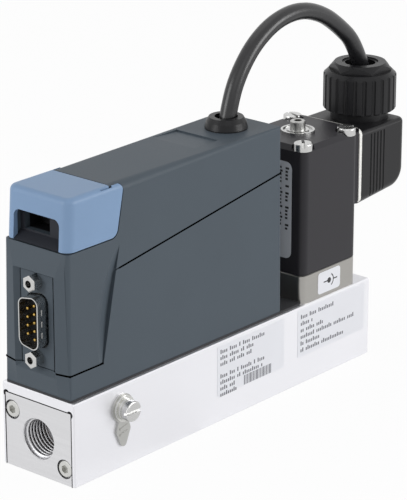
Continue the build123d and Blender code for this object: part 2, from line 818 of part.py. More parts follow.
def shell_screws():
    seat = gasket_top + hood_wall
    shank = hood_wall + gasket_thickness + screw_bite
    screw = socket_screw(m3_radius, shank, m3_head_radius, 1.8, 2.0)
    return Compound(children=[Pos(x, y, seat) * screw for x, y in shell_screw_places()])


def sensor_module():
    x0 = sensor_middle - sensor_length / 2
    module = cuboid(x0, x0 + sensor_length, -sensor_half, sensor_half, block_height,
                    block_height + sensor_height)
    module = fillet(module.edges().filter_by(Axis.Z), 1.5)
    for x in tap_places():
        module -= ring_z(block_height, block_height + 1.0, x, 0, 3.1, 1.9)
        module -= rod_z(block_height, block_height + 7, x, 0, tap_radius)
    for x, y in sensor_screw_places():
        module -= rod_z(block_height, block_height + sensor_height, x, y, m3_radius + shank_clearance)
    return module


def sensor_seals():
    ring = squeezed_ring(2.5, 1.1, 1.0)
    return Compound(children=[Pos(x, 0, block_height) * ring for x in tap_places()])


def sensor_screws():
    screw = socket_screw(m3_radius, sensor_height + screw_bite, m3_head_radius, 1.8, 2.0)
    return Compound(children=[Pos(x, y, block_height + sensor_height) * screw
                              for x, y in sensor_screw_places()])


def main_board():
    y0 = board_near_y
    y1 = board_back_y()
    board = cuboid(board_start, board_start + board_length, y0, y1, board_low, board_high)
    for x, z in board_post_places():
        board -= rod_y(y0, y1, x, z, board_screw_radius + 0.15)
    for x, z, length, height, rise in board_chips:
        board += cuboid(board_start + x, board_start + x + length, y0 - rise, y0,
                        board_low + z - height / 2, board_low + z + height / 2)
    return board


def board_screws():
    screw = slotted_screw(board_screw_radius, board_thickness + 2.5, 1.9, 1.3, 0.5, 0.6)
    return Compound(children=[Pos(x, board_near_y, z) * Rot(90, 0, 0) * screw
                              for x, z in board_post_places()])


def flange_x():
    return wall_back_x() + flange_thickness


def dsub_shell():
    """Drawn steel shell of the plug connector with its fixing flange."""
    rim_x = recess_floor_x() - shell_reach
    sleeve = d_prism(rim_x, flange_x(), 0)
    reach = lock_spacing / 2 + flange_past_locks
    flange = cuboid(wall_back_x(), flange_x(), -flange_half, flange_half, pin_axis_height - reach,
                    pin_axis_height + reach)
    flange = fillet(flange.edges().filter_by(Axis.X), 1.5)
    shell = sleeve + flange
    shell -= d_prism(rim_x - 1, flange_x() + 1, -shell_sheet)
    for z in lock_heights():
        shell -= rod_x(wall_back_x(), flange_x(), 0, z, lock_stem_radius + shank_clearance)
    return shell


def pin_places():
    """Five pins in the long row near -Y, four in the short row."""
    places = []
    for count, y in ((5, -pin_row_gap / 2), (4, pin_row_gap / 2)):
        for index in range(count):
            places.append((y, pin_axis_height + (index - (count - 1) / 2) * pin_pitch))
    return places


def dsub_insulator():
    front_x = recess_floor_x() + insulator_set_back
    body = d_prism(front_x, insulator_back(), -shell_sheet - 0.05)
    for y, z in pin_places():
        body -= rod_x(front_x, insulator_back(), y, z, pin_radius + 0.03)
    return body


def insulator_back():
    return recess_floor_x() + insulator_set_back + insulator_length


def dsub_pins():
    tip_x = recess_floor_x() - shell_reach + 1.0
    pins = []
    for y, z in pin_places():
        pin = rod_x(tip_x, insulator_back() + board_thickness + 1, y, z, pin_radius)
        pins.append(fillet(pin.edges().group_by(Axis.X)[0], pin_radius * 0.8))
    return Compound(children=pins)


def connector_board():
    x = insulator_back()
    reach = lock_spacing / 2 + connector_board_past_locks
    board = cuboid(x, x + board_thickness, -connector_board_half, connector_board_half,
                   pin_axis_height - reach, pin_axis_height + reach)
    for y, z in pin_places():
        board -= rod_x(x, x + board_thickness, y, z, pin_radius + 0.03)
    for z in lock_heights():
        board -= rod_x(x, x + board_thickness, 0, z, lock_stem_radius + 0.6)
    return board


def jackscrews():
    seat_x = recess_floor_x()
    stem = hood_wall + flange_thickness + 5
    screw = hex_z(0, lock_reach, 0, 0, lock_across_flats / cos(pi / 6))
    screw = chamfer(screw.edges().group_by(Axis.Z)[-1], 0.35)
    screw += rod_z(-stem, 0, 0, 0, lock_stem_radius)
    screw -= rod_z(lock_reach - 5.5, lock_reach, 0, 0, lock_core_radius)
    return Compound(children=[Pos(seat_x, 0, z) * Rot(0, -90, 0) * screw for z in lock_heights()])


def card_socket():
    """Socket for the memory card, behind the opening under the cap."""
    x = inlet_face + card_socket_start
    wall = card_socket_wall
    socket = cuboid(x, x + card_socket_length, card_near - wall, card_far + wall,
                    card_low - wall, card_high + wall)
    socket -= cuboid(x, x + card_depth, card_near, card_far, card_low, card_high)
    contact_slot = cuboid(x + card_depth, x + card_socket_length - 1, card_near + 0.8, card_far - 0.8,
                          card_low + 2.6, card_low + 3.6)
    return socket - contact_slot


def cable_entry():
    """Round cable gland on the hood: a flared collar with a bevelled top, its stem through the hood."""
    mouth = cable_radius + 1.0
    skirt_top = entry_foot_radius - 0.5
    profile = Wire.make_polygon([(mouth, 0, 0.8), (mouth, 0, entry_height), (entry_top_radius, 0, entry_height),
                                 (skirt_top, 0, entry_bevel_start), (entry_foot_radius, 0, 0.4),
                                 (entry_foot_radius, 0, 0), (0, 0, 0), (0, 0, 0.8)], close=True)
    gland = Pos(inlet_face + entry_station, 0, hood_top) * revolve(Face(profile), Axis.Z)
    gland += rod_z(locknut_low() - entry_stem_reach, hood_top, inlet_face + entry_station, 0,
                   entry_stem_radius)
    return gland


def locknut_low():
    return hood_top - hood_wall - locknut_thickness


def entry_locknut():
    seat = hood_top - hood_wall
    x = inlet_face + entry_station
    nut = hex_z(locknut_low(), seat, x, 0, locknut_across_corners)
    return nut - rod_z(locknut_low(), seat, x, 0, entry_stem_radius + shank_clearance)


# ---------------------------------------------------------------------- valve
def valve_screw_places():
    reach = valve_screw_offset
    return [(valve_x + sx * reach, sy * reach) for sx, sy in ((-1, -1), (1, -1), (1, 1), (-1, 1))]


def valve_square(z0, z1):
    half = valve_side / 2
    body = cuboid(valve_x - half, valve_x + half, -half, half, z0, z1)
    return fillet(body.edges().filter_by(Axis.Z), valve_corner_round)


def valve_body():
    body = valve_square(block_height, valve_top)
    body = chamfer(body.faces().sort_by(Axis.Z)[-1].edges(), 0.3)
    well_floor = valve_top - well_depth
    body -= rod_z(well_floor, valve_top, valve_x, 0, well_radius)
    body -= rod_z(block_height, well_floor, valve_x - riser_offset, 0, riser_radius)
    body -= rod_z(block_height, well_floor, valve_x, 0, riser_radius)
    body -= rod_z(well_floor - 1.2, well_floor, valve_x, 0, 3.0)
    for x in (valve_x - riser_offset, valve_x):
        body -= ring_z(block_height, block_height + 1.0, x, 0, 3.1, 1.95)
    for x, y in valve_screw_places():
        body -= rod_z(block_height, valve_top, x, y, m3_radius + shank_clearance)
    return body


def valve_seals():
    ring = squeezed_ring(2.52, 1.05, 1.0)
    return Compound(children=[Pos(x, 0, block_height) * ring for x in (valve_x - riser_offset, valve_x)])


def valve_seat():
    z = valve_top - well_depth - 1.2
    seat = rod_z(z, z + 2.4, valve_x, 0, 2.95)
    rim = rod_z(z + 2.4, z + 3.0, valve_x, 0, 1.6)
    return seat + rim - rod_z(z, z + 3.0, valve_x, 0, 0.8)


def seat_top():
    return valve_top - well_depth - 1.2 + 3.0


def guide_tube():
    """Flanged stainless tube that the plunger slides in; screwed down by the coil."""
    flange_low = valve_top - 1.6
    tube = rod_z(flange_low, valve_top + 0.2, valve_x, 0, well_radius - 0.05)
    tube += rod_z(valve_top, core_low() + 12, valve_x, 0, tube_radius)
    return tube - rod_z(flange_low, core_low() + 12, valve_x, 0, tube_radius - tube_wall)


def core_low():
    return plunger_low() + plunger_length + lift + 0.2


def plunger_low():
    return seat_top() + 0.05


def fixed_core():
    """Pole piece closing the tube; its threaded end stands out of the coil."""
    radius = tube_radius - tube_wall - 0.03
    core = rod_z(core_low(), core_low() + 12, valve_x, 0, radius)
    core += rod_z(core_low() + 12, coil_top + coil_washer_thickness + stub_height, valve_x, 0, stub_radius)
    tip = core.edges().group_by(Axis.Z)[-1]
    core = chamfer(tip, 0.3)
    core -= rod_z(core_low(), core_low() + spring_room / 2, valve_x, 0, spring_radius + 0.4)
    top = coil_top + coil_washer_thickness + stub_height
    return core - hex_z(top - 2.2, top, valve_x, 0, 2.9)


def valve_plunger():
    z = plunger_low()
    plunger = rod_z(z, z + plunger_length, valve_x, 0, plunger_radius)
    plunger = chamfer(plunger.edges(), 0.3)
    plunger -= rod_z(z + plunger_length - spring_room / 2, z + plunger_length, valve_x, 0,
                     spring_radius + 0.4)
    plunger -= rod_z(z, z + 1.6, valve_x, 0, 2.4)
    for way in (-1, 1):
        plunger -= cuboid(valve_x + way * (plunger_radius - 0.3) - 0.4,
                          valve_x + way * (plunger_radius - 0.3) + 0.4, -0.6, 0.6, z, z + plunger_length)
    return plunger


def plunger_seal():
    return rod_z(plunger_low(), plunger_low() + 1.6, valve_x, 0, 2.38)


def return_spring():
    low = plunger_low() + plunger_length - spring_room / 2
    high = core_low() + spring_room / 2
    pitch = (high - low - spring_wire) / spring_turns
    path = Helix(pitch, high - low - spring_wire, spring_radius - spring_wire / 2)
    start = path @ 0
    section = Plane(origin=start, z_dir=path % 0) * Circle(spring_wire / 2)
    coil = sweep(section, path=path)
    return Pos(valve_x, 0, low + spring_wire / 2) * coil


def coil_winding():
    return ring_z(coil_low + 5, coil_top - 8, valve_x, 0, 11.5, tube_radius + 1.6)


def coil_housing():
    body = valve_square(coil_low, coil_top)
    body = chamfer(body.faces().sort_by(Axis.Z)[-1].edges(), coil_top_bevel)
    half = valve_side / 2
    boss_half = plug_half_width - boss_side_step
    body += cuboid(valve_x + half - coil_top_bevel - 1, boss_x(), -boss_half, boss_half,
                   plug_low + 1.2, coil_top - boss_drop)
    body -= rod_z(coil_low, core_low() + 12 + 0.3, valve_x, 0, tube_radius + 0.1)
    body -= rod_z(coil_low, coil_top, valve_x, 0, stub_radius + 0.1)
    body -= coil_winding_room()
    seat_z = coil_top + valve_screw_proud - valve_screw_head_height
    for x, y in valve_screw_places():
        body -= rod_z(seat_z, coil_top, x, y, valve_screw_head_radius + valve_screw_pocket_gap)
        body -= rod_z(coil_low, seat_z, x, y, m3_radius + 0.1)
    for x, y in ((x, y) for x, y in valve_screw_places() if y < 0):
        side = 1 if x > valve_x else -1
        body -= cuboid(min(x, x + side * 5), max(x, x + side * 5), y - 5, y, seat_z, coil_top)
    body -= rod_x(boss_x() - 4.5, boss_x(), 0, plug_screw_height, m3_radius + shank_clearance)
    return body - terminal_slots(boss_x() - 3, boss_x())


def coil_winding_room():
    return ring_z(coil_low + 5, coil_top - 8, valve_x, 0, 11.55, tube_radius + 1.55)


def coil_seal():
    """Soft ring between the valve body and the coil."""
    return ring_z(valve_top, coil_low, valve_x, 0, 13.0, 11.0)


def coil_washer():
    z = coil_top
    washer = ring_z(z, z + coil_washer_thickness, valve_x, 0, coil_washer_radius, stub_radius + 0.1)
    dish = ring_z(z + coil_washer_thickness * 0.45, z + coil_washer_thickness, valve_x, 0,
                  coil_washer_radius - 0.7, stub_radius + 1.2)
    return washer - dish


def coil_screws():
    seat_z = coil_top + valve_screw_proud - valve_screw_head_height
    shank = seat_z - block_height + roof_bite
    screw = slotted_screw(m3_radius, shank, valve_screw_head_radius, valve_screw_head_height, 1.0, 1.3)
    return Compound(children=[Pos(x, y, seat_z) * Rot(0, 0, turn) * screw
                              for (x, y), turn in zip(valve_screw_places(), valve_screw_turns)])


# ----------------------------------------------------------------------- plug
def boss_x():
    return valve_x + valve_side / 2 + boss_depth


def plug_x():
    return boss_x() + seal_thickness


def plug_end_x():
    return plug_x() + plug_length


def blade_places():
    middle = (plug_low + plug_high) / 2
    return [(-9.0, middle, 1), (9.0, middle, 1), (0, middle - 6.6, 0)]


def terminal_blade(x0, x1, y, z, upright, grow):
    half_width_y = 0.4 if upright else 3.15
    half_width_z = 3.15 if upright else 0.4
    return cuboid(x0, x1, y - half_width_y - grow, y + half_width_y + grow,
                  z - half_width_z - grow, z + half_width_z + grow)


def terminal_slots(x0, x1):
    slots = [terminal_blade(x0, x1, y, z, upright, 0.05) for y, z, upright in blade_places()]
    return slots[0] + slots[1] + slots[2]


def coil_terminals():
    return Compound(children=[terminal_blade(boss_x() - 3, boss_x() + 12, y, z, upright, 0)
                              for y, z, upright in blade_places()])


def plug_profile(x0, x1, inset):
    """Side outline of the plug: flat top, bottom rising to a round heel."""
    low = plug_low + inset
    high = plug_high - inset
    return [(x0, high), (x0, low), (x1, low + plug_bottom_rise), (x1, high)]


def plug_gasket():
    low = plug_low + 0.6
    high = coil_top - seal_drop
    seal = cuboid(boss_x(), plug_x(), -plug_half_width, plug_half_width, low, high)
    seal = fillet(seal.edges().filter_by(Axis.X), 2.2)
    return seal - cuboid(boss_x(), plug_x(), -11.0, 11.0, low + 4.5, high - 6.0)


def plug_housing():
    x0 = plug_x() - inlet_face
    x1 = x0 + plug_length
    shell = side_prism(plug_profile(x0, x1, 0), -plug_half_width, plug_half_width, {2: 7.0})
    uprights = [e for e in shell.edges().filter_by(Axis.Z) if e.center().X > plug_end_x() - 1]
    shell = fillet(uprights, plug_round)
    shell = fillet(shell.edges().filter_by(Axis.X).group_by(Axis.Z)[-1], 1.6)
    inner = side_prism(plug_profile(x0 - 1, x1 - 2.2, 2.2), -plug_half_width + 2.2,
                       plug_half_width - 2.2, {2: 5.0})
    gland_x = inlet_face + gland_station
    shell += rod_z(plug_high - 1, gland_skirt_low + 8.0, gland_x, 0, neck_radius)
    shell -= inner
    shell -= rod_z(plug_high - 4, gland_skirt_low + 8.0, gland_x, 0, neck_radius - 2.8)
    for way in (-1, 1):
        for index in range(plug_rib_count):
            x = plug_x() + plug_rib_start + index * plug_rib_pitch
            shell -= rod_z(plug_low - 1, plug_high - 1.8, x, way * plug_half_width, plug_rib_radius)
    shell -= rod_x(plug_end_x() - 3, plug_end_x() + 1, 0, plug_screw_height, m3_radius + 0.15)
    return shell


def plug_insert():
    x0 = plug_x()
    insert = cuboid(x0, x0 + 14, -10.9, 10.9, plug_low + 4.8, plug_high - 6.8)
    insert = fillet(insert.edges().filter_by(Axis.X), 1.0)
    insert -= rod_x(x0, x0 + 14, 0, plug_screw_height, m3_radius + 0.15)
    return insert - terminal_slots(x0 - 1, x0 + 11)


def plug_screw():
    """Long screw that holds the plug to the coil."""
    shank = plug_length + seal_thickness + 4
    screw = slotted_screw(m3_radius, shank, m3_head_radius, 2.2, 0.8, 1.0)
    return Pos(plug_end_x(), 0, plug_screw_height) * Rot(0, 90, 0) * screw


def gland_nut():
    """Fluted nut with a bevelled shoulder, a low hexagonal crown and a ring in its mouth."""
    x = inlet_face + gland_station
    nut = rod_z(gland_skirt_low, gland_skirt_high, 0, 0, gland_radius)
    nut = chamfer(nut.edges().group_by(Axis.Z)[-1], gland_skirt_bevel)
    nut = chamfer(nut.edges().group_by(Axis.Z)[0], 0.4)
    for index in range(gland_ribs):
        turn = index * 360 / gland_ribs
        flute = rod_z(gland_skirt_low - 1, gland_skirt_high + 1, gland_radius + 0.2, 0, gland_rib_radius)
        nut -= Rot(0, 0, turn) * flute
    crown = hex_z(gland_skirt_high, gland_high, 0, 0, gland_hex_corners)
    bevel = Cone(gland_hex_corners / 2 + 0.4, gland_crown_top_radius, gland_crown_height,
                 align=(Align.CENTER, Align.CENTER, Align.MIN))
    nut += crown & (Pos(0, 0, gland_skirt_high) * bevel)
    nut -= rod_z(gland_skirt_low, gland_skirt_low + 8.2, 0, 0, neck_radius + 0.1)
    nut -= rod_z(gland_skirt_low + 8.0, gland_high - 3.0, 0, 0, neck_radius - 2.75)
    nut -= rod_z(gland_high - 3.5, gland_high, 0, 0, gland_mouth_radius)
    ring_top = gland_high - 0.5
    nut += ring_z(ring_top - 2, ring_top, 0, 0, gland_mouth_radius, gland_mouth_radius - gland_ring_width)
    return Pos(x, 0, 0) * nut


def gland_seal():
    x = inlet_face + gland_station
    seal = rod_z(gland_skirt_low, gland_high - 3.0, x, 0, neck_radius - 2.85)
    return fillet(seal.edges().group_by(Axis.Z)[0], 0.6)


def cable():
    """Cable from the hood to the plug, held at both ends."""
    points = [Vector(inlet_face + x, 0, z) for x, z in cable_route]
    radii = []
    for before, corner, after in zip(points, points[1:], points[2:]):
        turn = (corner - before).get_angle(after - corner) * pi / 180
        run = min((corner - before).length, (after - corner).length)
        radii.append(0.45 * run / tan(turn / 2))
    print("cable radii", [round(radius, 1) for radius in radii])
    path = FilletPolyline(*points, radius=radii)
    section = Plane(origin=points[0], z_dir=points[1] - points[0]) * Circle(cable_radius)
    tube = sweep(section, path=path)
    print("cable length", round(path.length, 1), "volume ratio",
          round(tube.volume / (pi * cable_radius ** 2 * path.length), 4))
    low_start = hood_top + 0.8
    low_end = gland_high - 3.0
    tube -= cuboid(inlet_face + entry_station - 20, inlet_face + entry_station + 20, -10, 10,
                   low_start - 10, low_start)
    tube -= cuboid(inlet_face + gland_station - 15, inlet_face + gland_station + 15, -10, 10,
                   low_end - 10, low_end)
    return tube


pieces = {
    "base_block": base_block,
    "outlet_port_plate": port_plate,
    "inlet_port_plate": lambda: at_inlet(port_plate()),
    "outlet_plate_screws": plate_screws,
    "inlet_plate_screws": lambda: at_inlet(plate_screws()),
    "outlet_plate_seal": plate_seal,
    "inlet_plate_seal": lambda: at_inlet(plate_seal()),
    "inlet_filter": inlet_filter,
    "flow_element": flow_element,
    "earth_tag": earth_tag,
    "earth_washer": earth_washer,
    "earth_spring_washer": earth_spring_washer,
    "earth_screw": earth_screw,
    "base_gasket": base_gasket,
    "lower_shell": lower_shell,
    "shell_screws": shell_screws,
    "upper_hood": upper_hood,
    "front_cap": front_cap,
    "sensor_module": sensor_module,
    "sensor_seals": sensor_seals,
    "sensor_screws": sensor_screws,
    "main_board": main_board,
    "board_screws": board_screws,
    "dsub_shell": dsub_shell,
    "dsub_insulator": dsub_insulator,
    "dsub_pins": dsub_pins,
    "connector_board": connector_board,
    "jackscrews": jackscrews,
    "card_socket": card_socket,
    "cable_entry": cable_entry,
    "entry_locknut": entry_locknut,
    "valve_body": valve_body,
    "valve_seals": valve_seals,
    "valve_seat": valve_seat,
    "guide_tube": guide_tube,
    "fixed_core": fixed_core,
    "valve_plunger": valve_plunger,
    "plunger_seal": plunger_seal,
    "return_spring": return_spring,
    "coil_winding": coil_winding,
    "coil_housing": coil_housing,
    "coil_seal": coil_seal,
    "coil_washer": coil_washer,
    "coil_screws": coil_screws,
    "coil_terminals": coil_terminals,
    "plug_gasket": plug_gasket,
    "plug_housing": plug_housing,
    "plug_insert": plug_insert,
    "plug_screw": plug_screw,
    "gland_nut": gland_nut,
    "gland_seal": gland_seal,
    "cable": cable,
}

os.makedirs("parts", exist_ok=True)
for name, make in pieces.items():
    export_step(make(), f"parts/{name}.step")
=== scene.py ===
import json
import math
import bmesh
import bpy
from mathutils import Matrix, Vector


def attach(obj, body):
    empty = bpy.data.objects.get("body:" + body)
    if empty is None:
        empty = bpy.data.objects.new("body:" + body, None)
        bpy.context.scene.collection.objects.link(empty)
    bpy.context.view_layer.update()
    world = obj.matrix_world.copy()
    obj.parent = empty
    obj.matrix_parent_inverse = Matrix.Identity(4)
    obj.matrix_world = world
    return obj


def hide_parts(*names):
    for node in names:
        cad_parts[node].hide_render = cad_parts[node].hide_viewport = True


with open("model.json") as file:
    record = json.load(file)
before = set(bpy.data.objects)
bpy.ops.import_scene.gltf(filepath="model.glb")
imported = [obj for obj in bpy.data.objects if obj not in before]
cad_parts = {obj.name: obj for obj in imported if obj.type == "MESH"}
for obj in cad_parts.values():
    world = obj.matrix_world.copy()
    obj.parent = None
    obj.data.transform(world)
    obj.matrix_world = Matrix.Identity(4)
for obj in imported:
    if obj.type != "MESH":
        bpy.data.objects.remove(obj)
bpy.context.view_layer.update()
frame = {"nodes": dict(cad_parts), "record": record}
nodes = frame["nodes"]
mm = 0.001
block = {"inletX": -74.5, "outletX": 74.5, "sideY": -15.5, "portZ": 12.4}  # in mm
print("frame loaded:", len(nodes), "nodes")


def placed(name, data):
    made = bpy.data.objects.new(name, data)
    bpy.context.scene.collection.objects.link(made)
    return made


# camera: turn in degrees, focal length and height of the frame in pixels, clip in m

camera = {"place": (-595.5, -517.1, 336.6), "yaw": 40.77, "pitch": 19.665, "focalPixels": 2565.2,
          "framePixels": 500, "sensorWidth": 36.0, "clip": (0.01, 20.0)}


def makeCamera():
    data = bpy.data.cameras.new("camera")
    data.sensor_width = camera["sensorWidth"]
    data.lens = camera["focalPixels"] / camera["framePixels"] * data.sensor_width
    data.clip_start, data.clip_end = camera["clip"]
    view = placed("camera", data)
    yaw, pitch = math.radians(camera["yaw"]), math.radians(camera["pitch"])
    forward = Vector((math.cos(yaw) * math.cos(pitch), math.sin(yaw) * math.cos(pitch), -math.sin(pitch)))
    view.location = Vector(camera["place"]) * mm
    view.rotation_mode = "QUATERNION"
    view.rotation_quaternion = forward.to_track_quat("-Z", "Y")
    bpy.context.scene.camera = view


# cable from the hood to the plug, a curve that ends on its first and last route points

cable = {"radius": 2.85 * mm, "length": 99.4 * mm, "sides": 6, "steps": 16, "order": 3,
         # x from the inlet face and z above the underside, in mm
         "route": [(90.2, 93.6), (92.2, 102.3), (97.0, 110.9), (104.5, 118.6), (115.0, 123.9),
                   (127.5, 125.2), (139.5, 121.6), (149.0, 115.3), (157.6, 108.0), (162.2, 98.0)]}


def routePoint(station, height):
    return Vector(((block["inletX"] + station) * mm, 0, height * mm))


def makeCable(finish):
    curve = bpy.data.curves.new("valveCable", "CURVE")
    curve.dimensions = "3D"
    curve.bevel_depth = cable["radius"]
    curve.bevel_resolution = cable["sides"]
    curve.resolution_u = cable["steps"]
    curve.use_fill_caps = True
    spline = curve.splines.new("NURBS")
    spline.points.add(len(cable["route"]) - 1)
    for point, (station, height) in zip(spline.points, cable["route"]):
        point.co = (*routePoint(station, height), 1)
    spline.order_u = cable["order"]
    spline.use_endpoint_u = True
    curve.materials.append(finish)
    lead = placed("valveCable", curve)
    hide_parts("cable")
    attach(lead, "controller")


# a wrapped socket with operators, and a graph whose one method makes every other node

class Signal:
    def __init__(self, graph, socket):
        self.graph, self.socket = graph, socket

    def __add__(self, other):
        return self.graph.maths("ADD", self, other)

    def __radd__(self, other):
        return self.graph.maths("ADD", other, self)

    def __sub__(self, other):
        return self.graph.maths("SUBTRACT", self, other)

    def __rsub__(self, other):
        return self.graph.maths("SUBTRACT", other, self)

    def __mul__(self, other):
        return self.graph.maths("MULTIPLY", self, other)

    def __rmul__(self, other):
        return self.graph.maths("MULTIPLY", other, self)


class Graph:
    def __init__(self, tree):
        self.tree = tree

    def feed(self, socket, value):
        if isinstance(value, Signal):
            self.tree.links.new(value.socket, socket)
        else:
            socket.default_value = value

    def node(self, kind, settings=None, inputs=None, output=0):
        made = self.tree.nodes.new(kind)
        for key, value in (settings or {}).items():
            setattr(made, key, value)
        for key, value in (inputs or {}).items():
            self.feed(made.inputs[key], value)
        return Signal(self, made.outputs[output])

    def maths(self, operation, first, second):
        return self.node("ShaderNodeMath", {"operation": operation}, {0: first, 1: second})

    def vector(self, x, y, z):
        return self.node("ShaderNodeCombineXYZ", {}, {0: x, 1: y, 2: z})

    def seen(self):
        # 1 for what the camera sees, straight, mirrored or through glass, and 0 for light on things
        direct, mirrored, through = (self.node("ShaderNodeLightPath", output=name) for name in
                                     ("Is Camera Ray", "Is Glossy Ray", "Is Transmission Ray"))
        return self.maths("MAXIMUM", self.maths("MAXIMUM", direct, mirrored), through)


class Surface(Graph):
    def __init__(self, name):
        self.material = bpy.data.materials.new(name)
        self.material.use_nodes = True
        super().__init__(self.material.node_tree)
        self.shader = self.tree.nodes["Principled BSDF"]
        self.place = self.node("ShaderNodeTexCoord", output="Object")

    def noise(self, scale, detail, stretch=(1, 1, 1)):
        place = self.node("ShaderNodeMapping", {}, {"Vector": self.place, "Scale": stretch})
        sizes = {"Vector": place, "Scale": scale, "Detail": detail}
        return self.node("ShaderNodeTexNoise", {}, sizes, "Fac")

    def tint(self, mask, colour, tones):
        low, high = (shade(colour, tone) for tone in tones)
        inputs = {0: mask, 6: (*low, 1), 7: (*high, 1)}
        return self.node("ShaderNodeMix", {"data_type": "RGBA"}, inputs, 2)

    def bump(self, height, distance, strength):
        sizes = {"Height": height, "Distance": distance * mm, "Strength": strength}
        return self.node("ShaderNodeBump", {}, sizes)

    def set(self, **values):
        names = {"colour": "Base Color", "roughness": "Roughness", "metallic": "Metallic",
                 "normal": "Normal", "specular": "Specular IOR Level", "coat": "Coat Weight"}
        for key, value in values.items():
            self.feed(self.shader.inputs[names[key]], value)
        return self.material


def linear(hexCode):
    channels = [int(hexCode[i:i + 2], 16) / 255 for i in (0, 2, 4)]
    return tuple(c / 12.92 if c < 0.04045 else ((c + 0.055) / 1.055) ** 2.4 for c in channels)


def shade(colour, factor):
    return tuple(min(1.0, c * factor) for c in colour)


def vary(base, noise, amount):
    return base + (noise - 0.5) * amount  # a noise swings about 0.5


# finishes: a noise is its scale per metre and its detail, tones are the darkest and the lightest share of
# the colour, shine is how far the roughness swings, and depth is in mm

moulded = {"cloud": (45, 2), "pitDetail": 2, "tones": (0.93, 1.06), "cloudShine": 0.08,
           "pitShine": 0.10, "bump": 0.35}


def mouldedPlastic(name, colour, roughness, grain, depth, gloss=0.3):
    s = Surface(name)
    cloud, pits = s.noise(*moulded["cloud"]), s.noise(grain, moulded["pitDetail"])
    shine = vary(vary(roughness, cloud, moulded["cloudShine"]), pits, moulded["pitShine"])
    return s.set(colour=s.tint(cloud, colour, moulded["tones"]), specular=gloss, roughness=shine,
                 normal=s.bump(pits, depth, moulded["bump"]))


machined = {"lineDetail": 4, "lineShare": 0.6, "cloud": (30, 2), "tones": (0.92, 1.04), "shine": 0.16,
            "depth": 0.02, "bump": 0.25}


def machinedMetal(name, colour, roughness, stretch):
    s = Surface(name)
    lines, cloud = s.noise(1, machined["lineDetail"], stretch), s.noise(*machined["cloud"])
    tone = lines * machined["lineShare"] + cloud * (1 - machined["lineShare"])
    return s.set(colour=s.tint(tone, colour, machined["tones"]), metallic=1.0,
                 roughness=vary(roughness, lines, machined["shine"]),
                 normal=s.bump(lines, machined["depth"], machined["bump"]))


anodising = {"lines": (1, 4, (25, 900, 1400)), "cloud": (22, 2), "tones": (0.97, 1.02), "metallic": 0.85,
             "roughness": 0.42, "shine": 0.12, "depth": 0.01, "bump": 0.2}


def anodised(name, colour):
    s = Surface(name)
    lines, cloud = s.noise(*anodising["lines"]), s.noise(*anodising["cloud"])
    return s.set(colour=s.tint(cloud, colour, anodising["tones"]), metallic=anodising["metallic"],
                 roughness=vary(anodising["roughness"], lines, anodising["shine"]),
                 normal=s.bump(lines, anodising["depth"], anodising["bump"]))


elastic = {"dust": (900, 3), "tones": (0.85, 1.25), "shine": 0.15, "bump": 0.3}


def rubber(name, colour, roughness, depth=0.03):
    s = Surface(name)
    dust = s.noise(*elastic["dust"])
    return s.set(colour=s.tint(dust, colour, elastic["tones"]),
                 roughness=vary(roughness, dust, elastic["shine"]),
                 normal=s.bump(dust, depth, elastic["bump"]))


lacquer = {"weave": (700, 2), "tones": (0.8, 1.2), "roughness": 0.35, "shine": 0.1, "coat": 0.4}


def solderMask(name, colour):
    s = Surface(name)
    weave = s.noise(*lacquer["weave"])
    return s.set(colour=s.tint(weave, colour, lacquer["tones"]), coat=lacquer["coat"],
                 roughness=vary(lacquer["roughness"], weave, lacquer["shine"]))


foil = {"cloud": (60, 3), "tones": (0.97, 1.02), "shine": 0.1, "depth": 0.02, "bump": 0.15}


def labelFilm(name, colour, roughness):
    s = Surface(name)
    cloud = s.noise(*foil["cloud"])
    return s.set(colour=s.tint(cloud, colour, foil["tones"]),
                 roughness=vary(roughness, cloud, foil["shine"]),
                 normal=s.bump(cloud, foil["depth"], foil["bump"]))


# painted shadow: a flat black with no shine, laid on thin strips where gaps and recess edges fall in shade
paintedGapShadow = {"colour": (0.001, 0.001, 0.001, 1), "roughness": 1.0, "specular": 0.0}


def gapShadow(name):
    return Surface(name).set(**paintedGapShadow)


